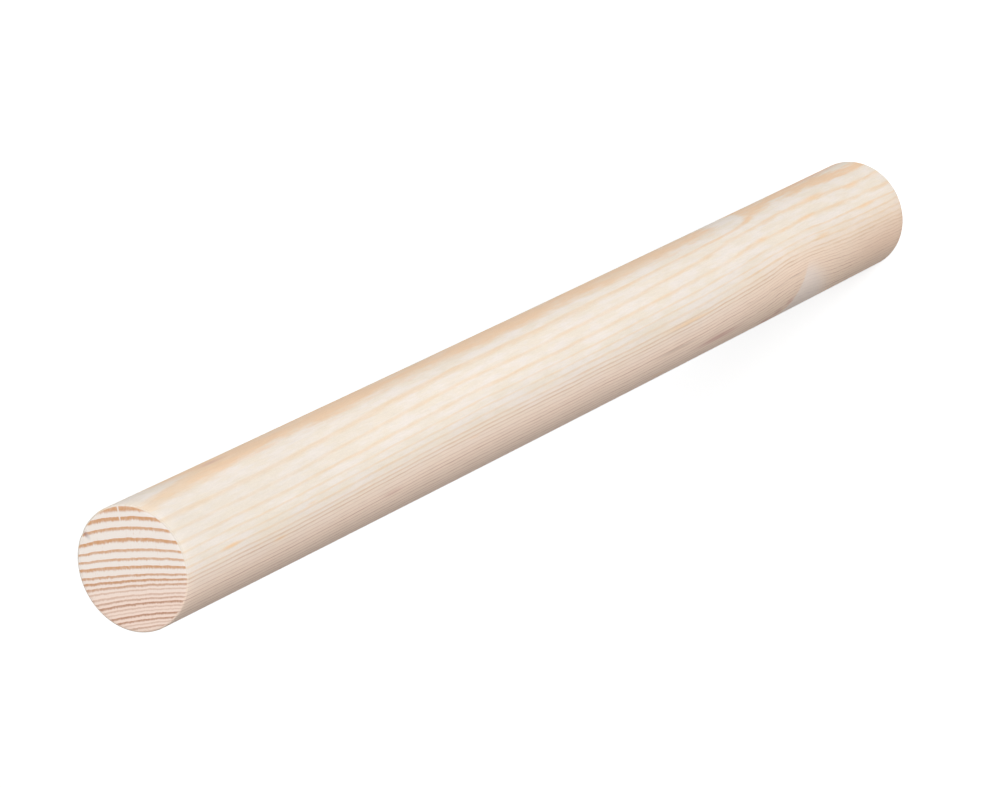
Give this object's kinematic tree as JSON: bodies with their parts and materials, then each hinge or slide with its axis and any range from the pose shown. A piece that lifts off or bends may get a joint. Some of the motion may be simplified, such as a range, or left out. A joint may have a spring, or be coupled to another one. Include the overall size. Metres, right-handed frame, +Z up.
{
  "type": "wooden dowel rod",
  "caption": "Straight round softwood rod with square-sawn ends and lightly sanded arrises.",
  "frame": {"origin": "middle of the sawn end that the rod stands on", "axes": "+Z up along the rod's axis, towards the other sawn end"},
  "size_m": [0.025, 0.025, 0.3],
  "materials": {
    "softwood": "bare turned softwood, fine sanded, with growth rings on the sawn ends and grain along the side"
  },
  "bodies": {
    "root": {"dowel_rod": "softwood"}
  },
  "joints": []
}
